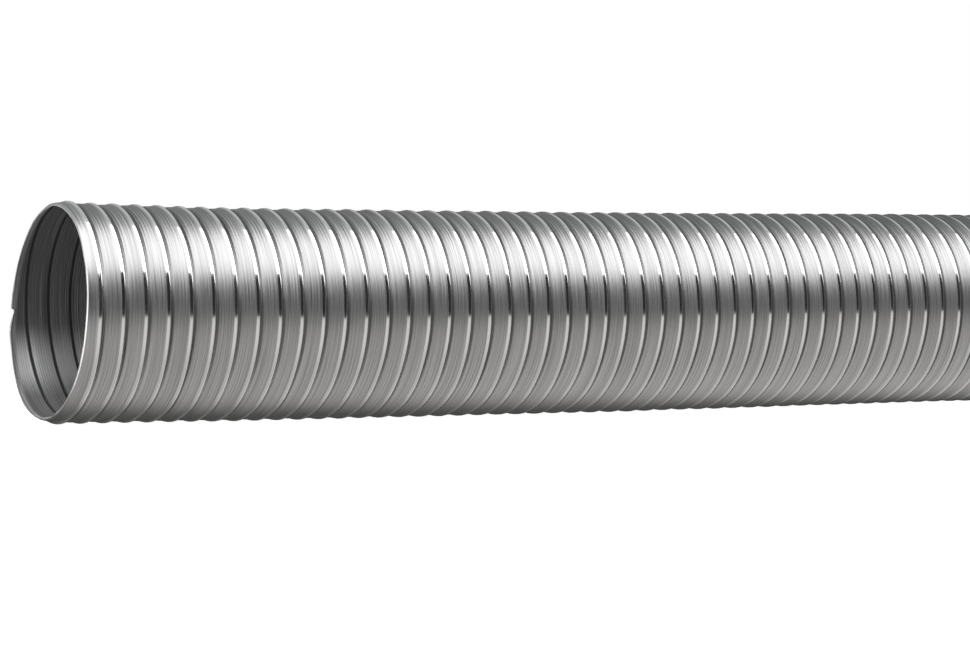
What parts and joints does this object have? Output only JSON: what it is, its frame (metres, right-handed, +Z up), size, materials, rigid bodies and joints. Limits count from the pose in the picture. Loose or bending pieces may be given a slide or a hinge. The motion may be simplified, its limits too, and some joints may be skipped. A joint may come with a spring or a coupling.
{
  "type": "flexible aluminium duct",
  "caption": "Round flexible duct wound from a thin aluminium strip, open at both ends, that carries air between two round spigots.",
  "frame": {"origin": "bottom centre of the box round the duct, on the plane that its lips rest on", "axes": "+X along the duct from its mouth to its far end, +Z up, the torn side of the mouth towards +Y"},
  "size_m": [0.55, 0.103, 0.103],
  "materials": {
    "aluminium_strip": "satin"
  },
  "bodies": {
    "root": {"duct": "aluminium_strip"}
  },
  "joints": []
}
